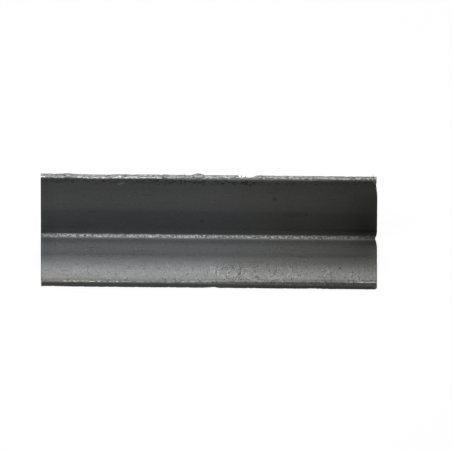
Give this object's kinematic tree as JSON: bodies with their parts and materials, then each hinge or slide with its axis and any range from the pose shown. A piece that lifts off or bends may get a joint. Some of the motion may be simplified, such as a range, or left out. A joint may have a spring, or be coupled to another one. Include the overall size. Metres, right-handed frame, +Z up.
{
  "type": "angle iron",
  "caption": "Short length of hot-rolled equal angle with a filleted root, lying on one leg with the other standing behind it.",
  "frame": {"origin": "bottom centre of the part's box, under the middle of the bar, on the surface that the flat leg lies on", "axes": "+X along the bar towards the sheared end, +Y towards the standing leg's outer face, +Z up"},
  "size_m": [0.21, 0.05, 0.0511],
  "materials": {
    "mill_scale": "satin"
  },
  "bodies": {
    "root": {"angle_iron": "mill_scale"}
  },
  "joints": []
}
